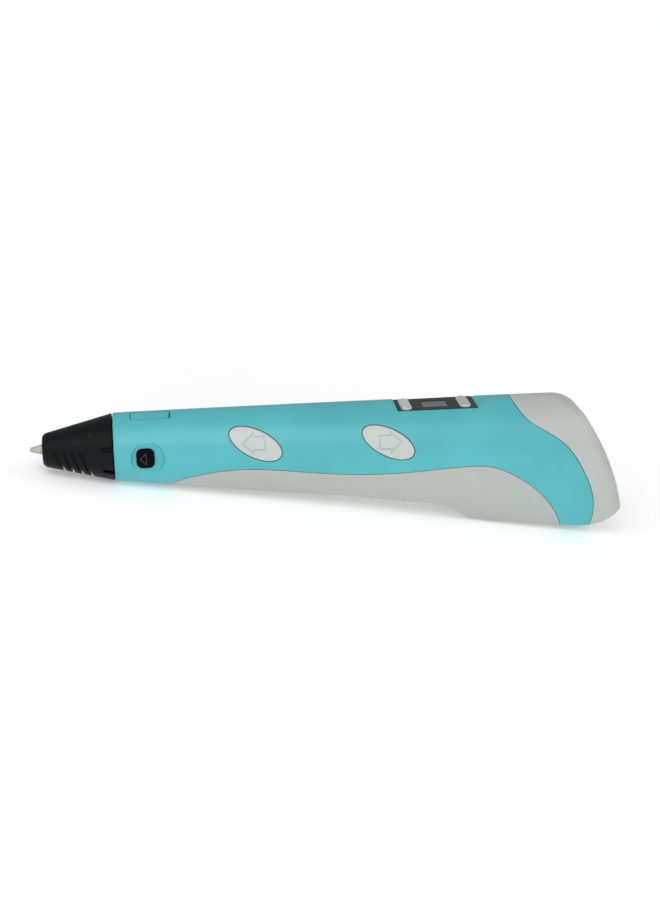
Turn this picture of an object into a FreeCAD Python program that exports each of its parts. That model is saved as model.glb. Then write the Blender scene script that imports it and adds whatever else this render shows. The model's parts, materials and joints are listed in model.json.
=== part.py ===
import FreeCAD, Part
import math
import os
import re
from types import SimpleNamespace

import Sketcher
from FreeCAD import Placement, Rotation, Vector
from fcgear import fcgear, involute

# Hand-held filament pen.  Everything is modelled in the pen's own axis frame: the origin is just
# ahead of the nozzle, +X runs rearwards along the filament path, +Z is up and -Y is the side with
# the feed buttons.  At the end one common placement lays the pen on its heel and nose rim.

doc = FreeCAD.newDocument("filament_pen")

# ---------------------------------------------------------------- driving dimensions (mm, degrees)
DIMENSIONS = {
    # housing: superposed half ellipses that widen, drop and taper along X
    "housing_start": 25.8, "housing_end": 190, "taper_length": 145, "ring_radius": 10.25,
    "width_gain": 5.2, "crest_drop": 0.95, "middle_slope": 0.06, "belly_slope": 0.132,
    "heel_swell": 6.5, "swell_start": 95, "swell_length": 55,
    "wall": 1.8, "front_wall": 2.6, "seam_gap": 0.14, "back_from": 150, "back_round": 3.5,
    "edge_round": 1.8, "rim_soft": 0.5, "halves_gap": 0.05,
    "collar_bore": 8.6,
    # nose cap
    "cap_front": 4.6, "cap_back": 25.55, "cap_tip_radius": 4.7, "cap_base_radius": 10.05,
    "cap_wall": 1.5, "cap_hole": 2.4, "cap_lip": 1.1, "spigot_radius": 8.4, "spigot_depth": 2.6,
    "groove_first": 8.9, "groove_pitch": 2.5, "groove_width": 1.15, "groove_tilt": 18,
    "groove_floor": 0.55, "groove_drop": 0.1, "groove_top": 1.0,
    "slot_length": 3.4, "slot_width": 1.5, "dot_radius": 1.1, "dot_height": 0.25,
    "dot_x": 19.2, "dot_angle": 42,
    # hot end
    "hot_rise": 0.3, "tip_start": 0.75, "tip_radius": 0.72, "nozzle_cone": 4.6,
    "nozzle_radius": 1.6, "nozzle_end": 9,
    "orifice_radius": 0.35, "filament_bore": 1.0, "barrel_radius": 2.6, "barrel_end": 33,
    "sleeve_radius": 3.6, "sleeve_start": 10.5, "sleeve_end": 22, "sensor_radius": 0.6,
    "sensor_length": 5, "holder_radius": 8.3, "holder_start": 28.7, "holder_end": 31.0,
    "hub_radius": 4.2, "hub_start": 23.5,
    # filament feed
    "tube_radius": 2.0, "guide_radius": 1.7, "guide_bore": 1.15, "block_start": 50,
    "block_end": 71, "bulkhead": 2.2, "block_side": 1.0, "block_half_width": 4.6,
    "block_floor": -8.6, "block_top": 2.8, "screw_start": 54, "screw_length": 13,
    "screw_radius": 3.0, "thread_pitch": 1.0, "thread_depth": 0.35, "screw_axis_drop": 3.8,
    "shaft_radius": 1.0, "shaft_end": 76.4, "bush_radius": 1.9, "running_gap": 0.05,
    "gear_module": 0.4, "driven_teeth": 12, "pinion_teeth": 15, "gear_start": 72.4,
    "gear_width": 3.4, "mesh_gap": 0.1, "lever_pivot_x": 54.5, "lever_pivot_z": 5.4,
    "lever_half_width": 3.1, "lever_plate": 0.8, "lever_end": 68, "roller_x": 61,
    "roller_radius": 2.95, "roller_width": 4, "roller_groove": 0.35, "axle_radius": 0.8,
    "filament_radius": 0.875, "pin_radius": 0.9, "spring_wire": 0.25, "spring_radius": 1.35,
    # drive motor
    "motor_radius": 5.0, "gearbox_start": 78, "gearbox_length": 11, "can_length": 19,
    "motor_cap": 2, "output_radius": 1.25, "plate_thickness": 1.2,
    # boards
    "board_inner": 5.6, "board_thickness": 1.0, "board_start": 32, "board_end": 112,
    "board_low": -3.0, "board_height": 6.4, "switch_side": 4.4, "switch_height": 0.7,
    "plunger_radius": 0.9, "plunger_height": 0.15, "switch_drop": 0.65,
    # push buttons on the left side
    "oval_long": 8.5, "oval_short": 4.05, "oval_tilt": 28.5, "button_gap": 0.2,
    "button_proud": 0.3, "flange_depth": 2.0, "flange_end": 2.75, "heat_flange_end": 2.38, "flange_lip": 0.8,
    "stem_radius": 1.4, "stem_end": 2.95, "feed_x": 67.7, "feed_z": 2.3, "retract_x": 107.4,
    "retract_z": 0.95, "heat_x": 35.0, "heat_z": -0.93, "heat_width": 4.95, "heat_height": 5.7,
    "heat_corner": 1.5, "dish_radius": 5.0, "dish_shift": 0.7, "dish_depth": 0.9,
    "rim_round": 0.6, "mark_depth": 0.25, "mark_line": 0.4, "arrow_length": 6.6,
    "arrow_head": 3.2, "arrow_width": 5.9, "arrow_shaft": 4.0, "arrow_shift": 0.6, "heat_proud": 0.2,
    "triangle_tip": 1.6, "triangle_base": 0.25, "triangle_width": 3.5, "ridge_start": 0.75,
    "ridge_width": 0.8, "ridge_length": 3.6, "ridge_height": 0.22,
    # release latch on the crest
    "latch_start": 31.0, "latch_length": 12, "latch_near": -4.2, "latch_width": 5.1,
    "latch_corner": 1.0, "latch_gap": 0.8,
    # display
    "facet_start": 111.3, "facet_end": 135.8, "facet_z": 8.35, "panel_half_width": 5.95,
    "panel_thickness": 1.2, "key_width": 3.35, "key_length": 10.4, "front_key_x": 114.25,
    "rear_key_x": 132.35, "key_proud": 0.65, "key_base": 6.75, "key_lip": 0.4,
    "key_round": 0.5, "rib_pitch": 0.55, "rib_width": 0.2, "rib_depth": 0.15,
    "window_start": 119.5, "window_length": 7.7, "window_width": 5.8, "display_board_z": 3.6,
    # rear end
    "inlet_radius": 3.0, "inlet_start": 165, "jack_z": -14, "jack_side": 9, "jack_start": 162.3,
    "jack_length": 10.6, "jack_bore": 2.85, "jack_pin": 1.0, "jack_collar": 4.2,
    "power_board_start": 139, "power_board_length": 23, "power_board_width": 18,
    "power_board_z": -22,
    # housing screws
    "boss_radius": 1.8, "screw_hole": 1.1, "pilot_hole": 0.85, "head_radius": 1.9,
    "head_height": 1.2, "head_seat": 6.2, "screw_shank": 11,
    # board components
    "controller_side": 6, "controller_height": 1, "controller_x": 87, "driver_length": 5,
    "driver_width": 4, "driver_height": 1.4, "plug_length": 5, "plug_depth": 2.2,
    "plug_height": 5.6, "plug_x": 79, "display_board_length": 26, "display_board_width": 11,
    "inductor_radius": 3.6, "inductor_height": 4.4, "inductor_x": 144.5, "inductor_y": 4,
    "capacitor_radius": 3.1, "capacitor_height": 7.5, "capacitor_x": 154, "capacitor_y": 4.15,
}

sheet = doc.addObject("Spreadsheet::Sheet", "Dims")
for row, (alias, number) in enumerate(DIMENSIONS.items(), start=1):
    sheet.set(f"A{row}", alias)
    sheet.set(f"B{row}", str(number))
    sheet.setAlias(f"B{row}", alias)
doc.recompute()
dim = SimpleNamespace(**{alias: float(sheet.get(alias)) for alias in DIMENSIONS})

X_AXIS, Y_AXIS, Z_AXIS = Vector(1, 0, 0), Vector(0, 1, 0), Vector(0, 0, 1)
FAR = 60
nodes = []


# ---------------------------------------------------------------- helpers
def expression(text):
    """Point every dimension name in a formula at the sheet."""
    return re.sub(r"[a-z][a-z_]+", lambda word: "Dims." + word.group(), text)


def bind(item, **formulas):
    """Bind properties of a document object to formulas of sheet cells."""
    for name, text in formulas.items():
        item.setExpression(name, expression(text))
    return item


def node(label, item):
    """Register a finished sub-part under its node name."""
    item.Label = label
    nodes.append(item)
    return item


def along(start, direction, own_axis=Z_AXIS):
    return Placement(start, Rotation(own_axis, direction))


def rod(name, radius, length, start, direction=X_AXIS):
    """Cylinder of a bound radius and length from a start point along a direction."""
    item = bind(doc.addObject("Part::Cylinder", name), Radius=radius, Height=length)
    item.Placement = along(start, direction)
    return item


def block(name, length, width, height, corner):
    """Box of bound sizes whose lowest corner is given."""
    item = bind(doc.addObject("Part::Box", name), Length=length, Width=width, Height=height)
    item.Placement = Placement(corner, Rotation())
    return item


def fuse(name, items):
    item = doc.addObject("Part::MultiFuse", name)
    item.Shapes = items
    return item


def cut(name, base, tools):
    item = doc.addObject("Part::Cut", name)
    item.Base = base
    item.Tool = tools[0] if len(tools) == 1 else fuse(name + "_tools", tools)
    return item


def common(name, first, second):
    item = doc.addObject("Part::Common", name)
    item.Base = first
    item.Tool = second
    return item


def group(name, items):
    item = doc.addObject("Part::Compound", name)
    item.Links = items
    return item


def helper(name, shape):
    """Construction solid made with Part's own functions."""
    item = doc.addObject("Part::Feature", name)
    item.Shape = shape
    return item


def rounded(name, box, radius, direction=Z_AXIS):
    """Round the four edges of a box that run along one direction."""
    doc.recompute()
    item = doc.addObject("Part::Fillet", name)
    item.Base = box
    edges = [index for index, edge in enumerate(box.Shape.Edges, start=1)
             if abs(edge.tangentAt(0).dot(direction)) > 0.99]
    item.Edges = [(index, radius, radius) for index in edges]
    return item


def outline(sketch, corners):
    """Closed polygon whose corners are pairs of formulas; each corner is pinned to the sheet."""
    count = len(corners)
    turn = 2 * math.pi / count
    start = [Vector(math.cos(turn * k), math.sin(turn * k), 0) for k in range(count)]
    for k in range(count):
        sketch.addGeometry(Part.LineSegment(start[k], start[(k + 1) % count]), False)
    for k in range(count):
        sketch.addConstraint(Sketcher.Constraint("Coincident", k, 2, (k + 1) % count, 1))
    for k, pair in enumerate(corners):
        for kind, axis, text in zip(("DistanceX", "DistanceY"), (-2, -1), pair):
            if text == "0":
                sketch.addConstraint(Sketcher.Constraint("PointOnObject", k, 1, axis))
                continue
            index = sketch.addConstraint(Sketcher.Constraint(kind, -1, 1, k, 1, 1.0))
            sketch.setExpression(f"Constraints[{index}]", expression(text))


def attach(sketch, body, role):
    plane = next(part for part in body.Origin.OriginFeatures if part.Role == role)
    sketch.AttachmentSupport = [(plane, "")]
    sketch.MapMode = "FlatFace"


def revolved(name, corners, start=Vector(), direction=X_AXIS):
    """Body turned about its X axis from a polygon of (distance along the axis, radius)."""
    body = doc.addObject("PartDesign::Body", name)
    sketch = body.newObject("Sketcher::SketchObject", name + "_profile")
    attach(sketch, body, "XZ_Plane")
    outline(sketch, corners)
    turned = body.newObject("PartDesign::Revolution", name + "_turned")
    turned.Profile = sketch
    turned.ReferenceAxis = (sketch, ["H_Axis"])
    turned.Angle = 360
    body.Placement = along(start, direction, X_AXIS)
    return body


def tube(name, outer, inner, first, last, start=Vector(), direction=X_AXIS):
    """Plain tube between two distances along its axis."""
    return revolved(name, [(first, inner), (last, inner), (last, outer), (first, outer)],
                    start, direction)


def slab(name, corners, width):
    """Polygon in the XZ plane, padded symmetrically across Y."""
    body = doc.addObject("PartDesign::Body", name)
    sketch = body.newObject("Sketcher::SketchObject", name + "_profile")
    attach(sketch, body, "XZ_Plane")
    outline(sketch, corners)
    pad = body.newObject("PartDesign::Pad", name + "_pad")
    pad.Profile = sketch
    pad.Midplane = True
    bind(pad, Length=width)
    return body


# ---------------------------------------------------------------- housing surfaces
def section_sizes(x):
    """Half width, middle height, crest height and lowest height of the housing at x."""
    run = x - dim.housing_start
    share = run / dim.taper_length
    swell = min(max((x - dim.swell_start) / dim.swell_length, 0), 1)
    half_width = dim.ring_radius + dim.width_gain * (1.3 * share - 0.3 * share ** 2)
    middle = -dim.middle_slope * run
    crest = dim.ring_radius - dim.crest_drop * share ** 2
    lowest = -dim.ring_radius - dim.belly_slope * run
    lowest -= dim.heel_swell * swell ** 2 * (3 - 2 * swell)
    return half_width, middle, crest, lowest


def half_ellipse(x, half_width, middle, reach):
    """Half an ellipse from side to side; a negative reach hangs below the middle."""
    centre, side = Vector(x, 0, middle), Vector(x, half_width, middle)
    top = centre + Vector(0, 0, abs(reach))
    if abs(reach) >= half_width:
        curve = Part.Ellipse(top, side, centre)
    else:
        curve = Part.Ellipse(side, top, centre)
    first, last = curve.parameter(side), curve.parameter(Vector(x, -half_width, middle))
    if last < first:
        last += 2 * math.pi
    middle_point = curve.value((first + last) / 2)
    if (middle_point.z - middle) * reach > 0:
        return curve.toShape(first, last)
    return curve.toShape(last, first + 2 * math.pi)


def housing_loft(inset):
    """Smooth housing body, moved inwards by the inset, before its underside and back are cut."""
    count = 12
    step = (dim.housing_end - dim.housing_start) / count
    wires = []
    for k in range(count + 1):
        x = dim.housing_start + k * step
        half_width, middle, crest, lowest = section_sizes(x)
        edges = [half_ellipse(x, half_width - inset, middle, crest - inset - middle),
                 half_ellipse(x, half_width - inset, middle, lowest + inset - middle)]
        wires.append(Part.Wire(Part.__sortEdges__(edges)))
    return Part.makeLoft(wires, True, False)


# Side view of the underside and back: corner, and the way an inset moves it.
FLAT_START, FLAT_END = (87.5, -17.1, 0, 1), (119, -20.75, 0, 1)
STEP_MIDDLE, HEEL_EDGE = (127.6, -23.1, 0.3, 1), (133.2, -27.7, 0.6, 1)
HEEL_END, HEEL_CURVE = (168, -31.8, 0, 1), (176.1, -29.7, -0.7, 0.7)
BACK_LOW, BACK_MIDDLE = (180.4, -24.8, -1, 0.2), (175.6, -9.5, -1, -0.35)
BACK_HIGH, CREST_CURVE = (168.5, 4.9, -0.9, -0.6), (162.3, 8.5, -0.3, -1)
CREST_END = (151.5, 9.7, 0, -1)


def side_region(inset, front):
    """Solid across Y whose side view is the housing's outline, moved inwards by the inset."""
    def corner(values):
        return Vector(values[0] + values[2] * inset, 0, values[1] + values[3] * inset)

    def line(first, last):
        return Part.LineSegment(first, last).toShape()

    def arc(first, through, last):
        return Part.Arc(first, through, last).toShape()

    flat_start, flat_end, heel = corner(FLAT_START), corner(FLAT_END), corner(HEEL_EDGE)
    low_front, high_front = Vector(front, 0, -FAR), Vector(front, 0, FAR)
    below_flat, above_crest = Vector(flat_start.x, 0, -FAR), corner(CREST_END)
    over_crest = Vector(above_crest.x, 0, FAR)
    edges = [
        line(high_front, low_front), line(low_front, below_flat), line(below_flat, flat_start),
        line(flat_start, flat_end), arc(flat_end, corner(STEP_MIDDLE), heel),
        line(heel, corner(HEEL_END)),
        arc(corner(HEEL_END), corner(HEEL_CURVE), corner(BACK_LOW)),
        arc(corner(BACK_LOW), corner(BACK_MIDDLE), corner(BACK_HIGH)),
        arc(corner(BACK_HIGH), corner(CREST_CURVE), above_crest),
        line(above_crest, over_crest), line(over_crest, high_front),
    ]
    region = Part.Face(Part.Wire(Part.__sortEdges__(edges))).extrude(Vector(0, 2 * FAR, 0))
    region.translate(Vector(0, -FAR, 0))
    return region


def softened(shape):
    """Round the rim of the back, then the long edges of the flat underside, step and heel."""
    def is_back_rim(edge):
        box = edge.optimalBoundingBox()
        return (edge.Length > 1 and box.XLength > 0.05 and box.XMin > dim.back_from
                and box.ZMax > -29)

    def is_lower_edge(edge):
        box = edge.optimalBoundingBox()
        return (box.YMin * box.YMax > 0 and box.XLength > 5 and box.XMin > 87
                and box.ZMax < -16 and box.XMax < 176 and box.YLength < 6)

    shape = shape.makeFillet(dim.back_round, [edge for edge in shape.Edges if is_back_rim(edge)])
    return shape.makeFillet(dim.edge_round, [edge for edge in shape.Edges if is_lower_edge(edge)])


outer_blank = softened(housing_loft(0).common(side_region(0, dim.housing_start)).Solids[0])
front_rim = [edge for edge in outer_blank.Edges if edge.BoundBox.XMax < dim.housing_start + 0.05]
outer = helper("outer", outer_blank.makeFillet(dim.rim_soft, front_rim))
cavity_start = dim.housing_start + dim.front_wall
cavity = helper("cavity", housing_loft(dim.wall).common(side_region(dim.wall, cavity_start)).Solids[0])

# Parting lines in side view: a long wave above the belly and a sweep in front of the rear cap.
WAVE = [(38.5, -15.5), (44.9, -9.1), (50.9, -7.15), (64, -5.65), (80.6, -7.1), (98.6, -8.84),
        (110.6, -8.85), (129.5, -7.7), (139.1, -8.3), (144.7, -10.7), (150.4, -14.6),
        (155.2, -19.3), (159.2, -25), (161.3, -29.5), (163, -35)]
REAR_SWEEP = [(145.2, 13), (146.7, 9.6), (150.8, 4.6), (156.5, 1.2), (162, -3.1), (166.8, -10.6),
              (169.7, -17.5), (170.9, -23.5), (171, -28.5), (170.7, -36)]


def zone(name, curve_points, closing_points, shift=(0, 0)):
    """Region across Y that is bounded by a smooth curve and straight closing lines."""
    points = [Vector(x + shift[0], 0, z + shift[1]) for x, z in curve_points]
    curve = Part.BSplineCurve()
    curve.interpolate(points)
    frame = [points[-1]] + [Vector(x, 0, z) for x, z in closing_points] + [points[0]]
    wire = Part.Wire([curve.toShape()] + Part.makePolygon(frame).Edges)
    region = Part.Face(wire).extrude(Vector(0, 2 * FAR, 0))
    region.translate(Vector(0, -FAR, 0))
    return helper(name, region)


belly_closing = [(163, -FAR), (38.5, -FAR)]
rear_closing = [(170.7, -FAR), (220, -FAR), (220, 13)]
gap = dim.seam_gap
belly_zone = zone("belly_zone", WAVE, belly_closing)
belly_above = zone("belly_above", WAVE, belly_closing, (0, gap))
belly_behind = zone("belly_behind", WAVE, belly_closing, (gap, 0))
rear_zone = zone("rear_zone", REAR_SWEEP, rear_closing)
rear_clearance = zone("rear_clearance", REAR_SWEEP, rear_closing, (-gap, -gap / 2))


# ---------------------------------------------------------------- openings in the housing
def side_normal(x, z):
    """Point of the left surface at x and z, and the outward direction there, ignoring the taper."""
    half_width, middle, crest, _ = section_sizes(x)
    reach = crest - middle
    y = -half_width * math.sqrt(1 - ((z - middle) / reach) ** 2)
    normal = Vector(0, y / half_width ** 2, (z - middle) / reach ** 2)
    return Vector(x, y, z), normal.normalize()


def oval_prism(name, x, z, grow, length):
    """Tilted oval prism across the left surface, reaching the length inwards and outwards."""
    point, normal = side_normal(x, z)
    oval = bind(doc.addObject("Part::Ellipse", name + "_curve"),
                MajorRadius=f"oval_long + {grow}", MinorRadius=f"oval_short + {grow}")
    frame = Rotation(Z_AXIS, normal).multiply(Rotation(Z_AXIS, -dim.oval_tilt))
    oval.Placement = Placement(point, frame)
    prism = doc.addObject("Part::Extrusion", name)
    prism.Base = oval
    prism.DirMode = "Normal"
    prism.LengthFwd = 2 * length
    prism.Symmetric = True
    prism.Solid = True
    return prism, point, normal


OVALS = {"feed": (dim.feed_x, dim.feed_z), "retract": (dim.retract_x, dim.retract_z)}
heat_centre = Vector(dim.heat_x, 0, dim.heat_z)


def heat_prism(name, grow, near, far):
    """Rounded square prism of the heat button between two distances from the mid-plane."""
    box = block(name + "_box", f"heat_width + 2 * {grow}", f"{far} - {near}",
                f"heat_height + 2 * {grow}",
                Vector(dim.heat_x - dim.heat_width / 2 - grow, -far,
                       dim.heat_z - dim.heat_height / 2 - grow))
    return rounded(name, box, dim.heat_corner + grow, Y_AXIS)


def latch_box(name, inset_x, inset_near, inset_far, low, high, corner):
    """Rounded plate outline of the latch, moved inwards from the window by the insets."""
    box = block(name + "_box", f"latch_length - {inset_x[0] + inset_x[1]}",
                f"latch_width - {inset_near + inset_far}", f"{high} - {low}",
                Vector(dim.latch_start + inset_x[0], dim.latch_near + inset_near, low))
    return rounded(name, box, corner)


half_width_at_heat = section_sizes(dim.heat_x)[0]
dish = rod("dish", "dish_radius", "10",
           heat_centre + Vector(dim.dish_shift, -half_width_at_heat + dim.dish_depth, 0), -Y_AXIS)
facet = slab("facet", [("facet_start - 1.1", "facet_z + 3"), ("facet_start - 0.1", "facet_z"),
                       ("facet_end + 0.1", "facet_z"), ("facet_end + 6", "facet_z + 1.75"),
                       ("facet_end + 6", "facet_z + 3")], "40")
panel_well = block("panel_well", "facet_end - facet_start + 0.2", "2 * panel_half_width + 0.2", "7",
                   Vector(dim.facet_start - 0.1, -dim.panel_half_width - 0.1, dim.facet_z - 5))
collar_hole = rod("collar_hole", "collar_bore", "front_wall + 2",
                  Vector(dim.housing_start - 1, 0, 0))
latch_window = latch_box("latch_window", (0, 0), 0, 0, 4, 14, dim.latch_corner)
left_openings = [collar_hole, latch_window, dish, facet, panel_well,
                 heat_prism("heat_hole", dim.button_gap, 4, 14)]
left_openings += [oval_prism(name + "_hole", x, z, dim.button_gap, 6)[0]
                  for name, (x, z) in OVALS.items()]
right_openings = [collar_hole, latch_window, facet, panel_well]

SCREW_PLACES = [(46, -5.1), (80, 5.4), (95.5, 5.4), (142.5, 4.5), (166.5, -22)]


def screw_rods(name, radius, length, y, direction):
    return [rod(f"{name}_{k}", radius, length, Vector(x, y, z), direction)
            for k, (x, z) in enumerate(SCREW_PLACES)]


def half_space(name, side):
    near = dim.halves_gap if side > 0 else -40 - dim.halves_gap
    return block(name, "250", "40", "120", Vector(-10, near, -70))


skin = cut("skin", outer, [cavity, belly_above, belly_behind, rear_clearance])


def half_shell(label, side, openings, bores):
    """One half of the coloured upper housing with its screw posts."""
    skin_half = common(label + "_skin", skin, half_space(label + "_side", side))
    rods = screw_rods(label + "_post", "boss_radius", "20", 0, Y_AXIS * side)
    if side > 0:
        rods += screw_rods("sleeve", "head_radius + 1", "20", dim.head_seat - 1.2, Y_AXIS)
    posts = common(label + "_posts", outer, fuse(label + "_rods", rods))
    return node(label, cut(label, fuse(label + "_blank", [skin_half, posts]), openings + bores))


half_shell("left_shell", -1, left_openings, screw_rods("pilot", "pilot_hole", "6", 0, -Y_AXIS))
half_shell("right_shell", 1, right_openings,
           screw_rods("clear", "screw_hole", "head_seat + 1", -0.5, Y_AXIS)
           + screw_rods("seat", "head_radius + 0.2", "20", dim.head_seat, Y_AXIS))

screws = []
for index, (x, z) in enumerate(SCREW_PLACES):
    screws.append(revolved(f"screw_{index}", [
        ("0", "0"), ("0", "pilot_hole - 0.03"), ("screw_shank", "pilot_hole - 0.03"),
        ("screw_shank", "head_radius"), ("screw_shank + head_height", "head_radius - 0.2"),
        ("screw_shank + head_height", "0.5"), ("screw_shank + 0.6", "0.5"),
        ("screw_shank + 0.6", "0")], Vector(x, dim.head_seat - dim.screw_shank, z), Y_AXIS))
node("shell_screws", group("shell_screws", screws))

hollow = cut("hollow", outer, [cavity])
node("belly_cover", common("belly_cover", hollow, belly_zone))

inlet_hole = rod("inlet_hole", "inlet_radius + 0.05", "30", Vector(dim.inlet_start, 0, 0))
jack_axis = Vector(dim.jack_start, 0, dim.jack_z)
jack_hole = rod("jack_hole", "jack_collar + 0.05", "30", jack_axis)
node("rear_cap", cut("rear_cap", common("rear_blank", hollow, rear_zone), [inlet_hole, jack_hole]))


# ---------------------------------------------------------------- nose cap
def nose_cap():
    """Tapered heat guard with finger grooves on its lower half and cooling slots at its rim."""
    shell = revolved("cap_turned", [
        ("cap_front", "0"), ("cap_front", "cap_tip_radius - cap_lip / 2"),
        ("cap_front + 0.35", "cap_tip_radius"), ("cap_front + cap_lip", "cap_tip_radius + 0.45"),
        ("cap_back - 0.3", "cap_base_radius"), ("cap_back", "cap_base_radius - 0.25"),
        ("cap_back", "spigot_radius"), ("cap_back + spigot_depth", "spigot_radius"),
        ("cap_back + spigot_depth", "spigot_radius - cap_wall"),
        ("cap_back - 2.5", "spigot_radius - cap_wall"),
        ("cap_front + cap_wall", "cap_tip_radius - cap_wall + 0.6"),
        ("cap_front + cap_wall", "0")])
    cone_slope = (dim.cap_base_radius - dim.cap_tip_radius - 0.45) / (
        dim.cap_back - 0.3 - dim.cap_front - dim.cap_lip)
    tools = [rod("cap_mouth", "cap_hole", "cap_wall + 2", Vector(
        dim.cap_front - 1, 0, dim.hot_rise))]
    for k in range(4):
        x = dim.groove_first + k * dim.groove_pitch
        radius = dim.cap_tip_radius + 0.45 + cone_slope * (x - dim.cap_front - dim.cap_lip)
        tilt = Rotation(Y_AXIS, -dim.groove_tilt).multVec(X_AXIS)
        centre = Vector(x, 0, 0) - tilt * (dim.groove_width / 2)
        disc = rod(f"groove_disc_{k}", "14", "groove_width", centre, tilt)
        core = rod(f"groove_core_{k}", f"{round(radius, 3)} - groove_floor", "3 * groove_width",
                   centre - tilt * dim.groove_width + Z_AXIS * dim.groove_drop, tilt)
        upper = block(f"groove_end_{k}", "40", "40", "20", Vector(x - 20, -20, dim.groove_top))
        tools.append(cut(f"groove_{k}", disc, [core, upper]))
    for k, angle in enumerate((-13, 32, 148, 193)):
        spoke = Rotation(X_AXIS, angle).multVec(-Y_AXIS)
        slot = block(f"rim_slot_{k}", "slot_length", "8", "slot_width", Vector())
        frame = Rotation(X_AXIS, 180 + angle)
        slot.Placement = Placement(Vector(dim.cap_back - dim.slot_length + 0.1, 0, 0)
                                   + spoke * (dim.spigot_radius + 0.05)
                                   - frame.multVec(Z_AXIS) * (dim.slot_width / 2), frame)
        tools.append(slot)
    body = cut("cap_cut", shell, tools)
    radius = dim.cap_tip_radius + 0.45 + cone_slope * (dim.dot_x - dim.cap_front - dim.cap_lip)
    spoke = Rotation(X_AXIS, -dim.dot_angle).multVec(-Y_AXIS)
    dot = rod("cap_dot", "dot_radius", "dot_height + 1",
              X_AXIS * dim.dot_x + spoke * (radius - 1), spoke)
    return fuse("nose_cap", [body, dot])


node("nose_cap", nose_cap())

# ---------------------------------------------------------------- hot end
rise = Vector(0, 0, dim.hot_rise)
node("nozzle", revolved("nozzle", [
    ("tip_start", "orifice_radius"), ("tip_start", "tip_radius - 0.25"),
    ("tip_start + 0.25", "tip_radius"), ("nozzle_cone", "nozzle_radius"),
    ("nozzle_end", "nozzle_radius"), ("nozzle_end", "filament_bore"),
    ("nozzle_cone - 1", "filament_bore"), ("tip_start + 2", "orifice_radius")], rise))
node("heater_barrel", tube("heater_barrel", "barrel_radius", "filament_bore", "nozzle_end",
                           "barrel_end", rise))
node("heater_sleeve", tube("heater_sleeve", "sleeve_radius", "barrel_radius + 0.05",
                           "sleeve_start", "sleeve_end", rise))
node("thermistor", rod("thermistor", "sensor_radius", "sensor_length", rise + Vector(
    dim.sleeve_start + 4, 0, -dim.sleeve_radius - dim.sensor_radius - 0.02)))
holder_blank = fuse("holder_blank", [
    rod("holder_disc", "holder_radius", "holder_end - holder_start", X_AXIS * dim.holder_start),
    rod("holder_hub", "hub_radius", "barrel_end - hub_start", rise + X_AXIS * dim.hub_start)])
node("nozzle_holder", cut("nozzle_holder", holder_blank, [
    rod("holder_bore", "barrel_radius + 0.02", "20", rise + X_AXIS * (dim.hub_start - 5))]))
tube_start = rise + X_AXIS * (dim.barrel_end + 0.15)
tube_run = X_AXIS * (dim.block_start - 0.15) - tube_start
node("feed_tube", tube("feed_tube", "tube_radius", "guide_bore", "0",
                       str(round(tube_run.Length, 3)), tube_start, tube_run))

# ---------------------------------------------------------------- filament feed
screw_axis = Vector(0, 0, -dim.screw_axis_drop)
centre_distance = dim.gear_module * (dim.driven_teeth + dim.pinion_teeth) / 2 + dim.mesh_gap
motor_axis = screw_axis - Vector(0, 0, centre_distance)


def feed_block():
    """Channel with two bulkheads that carries the drive screw, the tubes and the idler lever."""
    body = block("block_body", "block_end - block_start", "2 * block_half_width",
                 "block_top - block_floor",
                 Vector(dim.block_start, -dim.block_half_width, dim.block_floor))
    trough = block("block_trough", "block_end - block_start - 2 * bulkhead",
                   "2 * block_half_width - 2 * block_side", "20",
                   Vector(dim.block_start + dim.bulkhead, dim.block_side - dim.block_half_width,
                          dim.block_floor + 1.2))
    ears = block("block_ears", "4.4", "2 * block_half_width", "7",
                 Vector(dim.block_start + dim.bulkhead + 0.1, -dim.block_half_width, 0))
    return cut("feed_block", fuse("block_solid", [body, ears]), [
        trough,
        rod("block_filament_bore", "guide_bore", "40", Vector(dim.block_start - 5, 0, 0)),
        rod("block_bush_bore", "bush_radius", "40", screw_axis + X_AXIS * (dim.block_start - 5)),
        rod("block_pin_bore", "pin_radius", "20",
            Vector(dim.lever_pivot_x, -10, dim.lever_pivot_z), Y_AXIS)])


def thread_groove(radius, depth, pitch, length):
    """V-shaped helical groove along +Z that cuts into a cylinder of the radius."""
    path = Part.Wire(Part.makeHelix(pitch, length, radius))
    half = pitch * 0.42
    corners = [Vector(radius + depth * 0.3, 0, -half), Vector(radius + depth * 0.3, 0, half),
               Vector(radius - depth, 0, 0), Vector(radius + depth * 0.3, 0, -half)]
    return path.makePipeShell([Part.makePolygon(corners)], True, True)


def gear(name, teeth, bore, axis, turn):
    """Involute spur gear on a bore, starting at the gear plane."""
    builder = fcgear.FCWireBuilder()
    involute.CreateExternalGear(builder, dim.gear_module, int(teeth), 20, True)
    outline_wire = Part.Wire([curve.toShape() for curve in builder.wire])
    solid = Part.Face(outline_wire).extrude(Vector(0, 0, dim.gear_width))
    solid = solid.cut(Part.makeCylinder(bore, dim.gear_width))
    solid.rotate(Vector(), Z_AXIS, turn)
    item = helper(name, solid)
    item.Placement = Placement(axis + X_AXIS * dim.gear_start, Rotation(Y_AXIS, 90))
    return item


node("feed_block", feed_block())
bush_offsets = (dim.block_start, dim.block_end - dim.bulkhead)
node("screw_bushes", group("screw_bushes", [
    tube(f"bush_{k}", "bush_radius", "shaft_radius + running_gap", "0", "bulkhead",
         screw_axis + X_AXIS * x) for k, x in enumerate(bush_offsets)]))

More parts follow.
